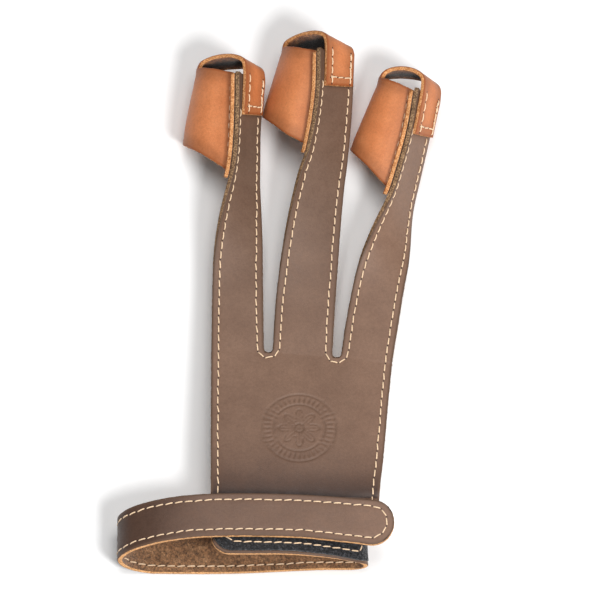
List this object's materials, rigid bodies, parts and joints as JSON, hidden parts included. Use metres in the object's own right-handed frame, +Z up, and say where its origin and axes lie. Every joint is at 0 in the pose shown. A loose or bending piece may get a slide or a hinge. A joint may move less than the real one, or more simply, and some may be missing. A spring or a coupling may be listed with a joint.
{
  "type": "archery glove",
  "caption": "Leather three-finger archery glove with open-tipped finger stalls, a back-of-hand panel and a wrist strap with hook-and-loop closure.",
  "frame": {"origin": "middle of the glove's footprint, on the surface that it lies on", "axes": "+X across the hand from the index finger's side, +Y from the wrist toward the fingertips, +Z up, out of the back of the hand"},
  "size_m": [0.1322, 0.2292, 0.0346],
  "materials": {
    "hand_leather": "taupe top-grain leather, semi-matte, with brown suede on its inner side",
    "stall_leather": "russet smooth leather, semi-matte, with orange-tan cut edges",
    "hook_and_loop": "black napped fabric"
  },
  "bodies": {
    "root": {"back_panel": "hand_leather", "wrist_strap": "hand_leather", "loop_patch": "hook_and_loop", "hook_patch": "hook_and_loop", "stall_index": "stall_leather", "stall_middle": "stall_leather", "stall_ring": "stall_leather"}
  },
  "joints": []
}
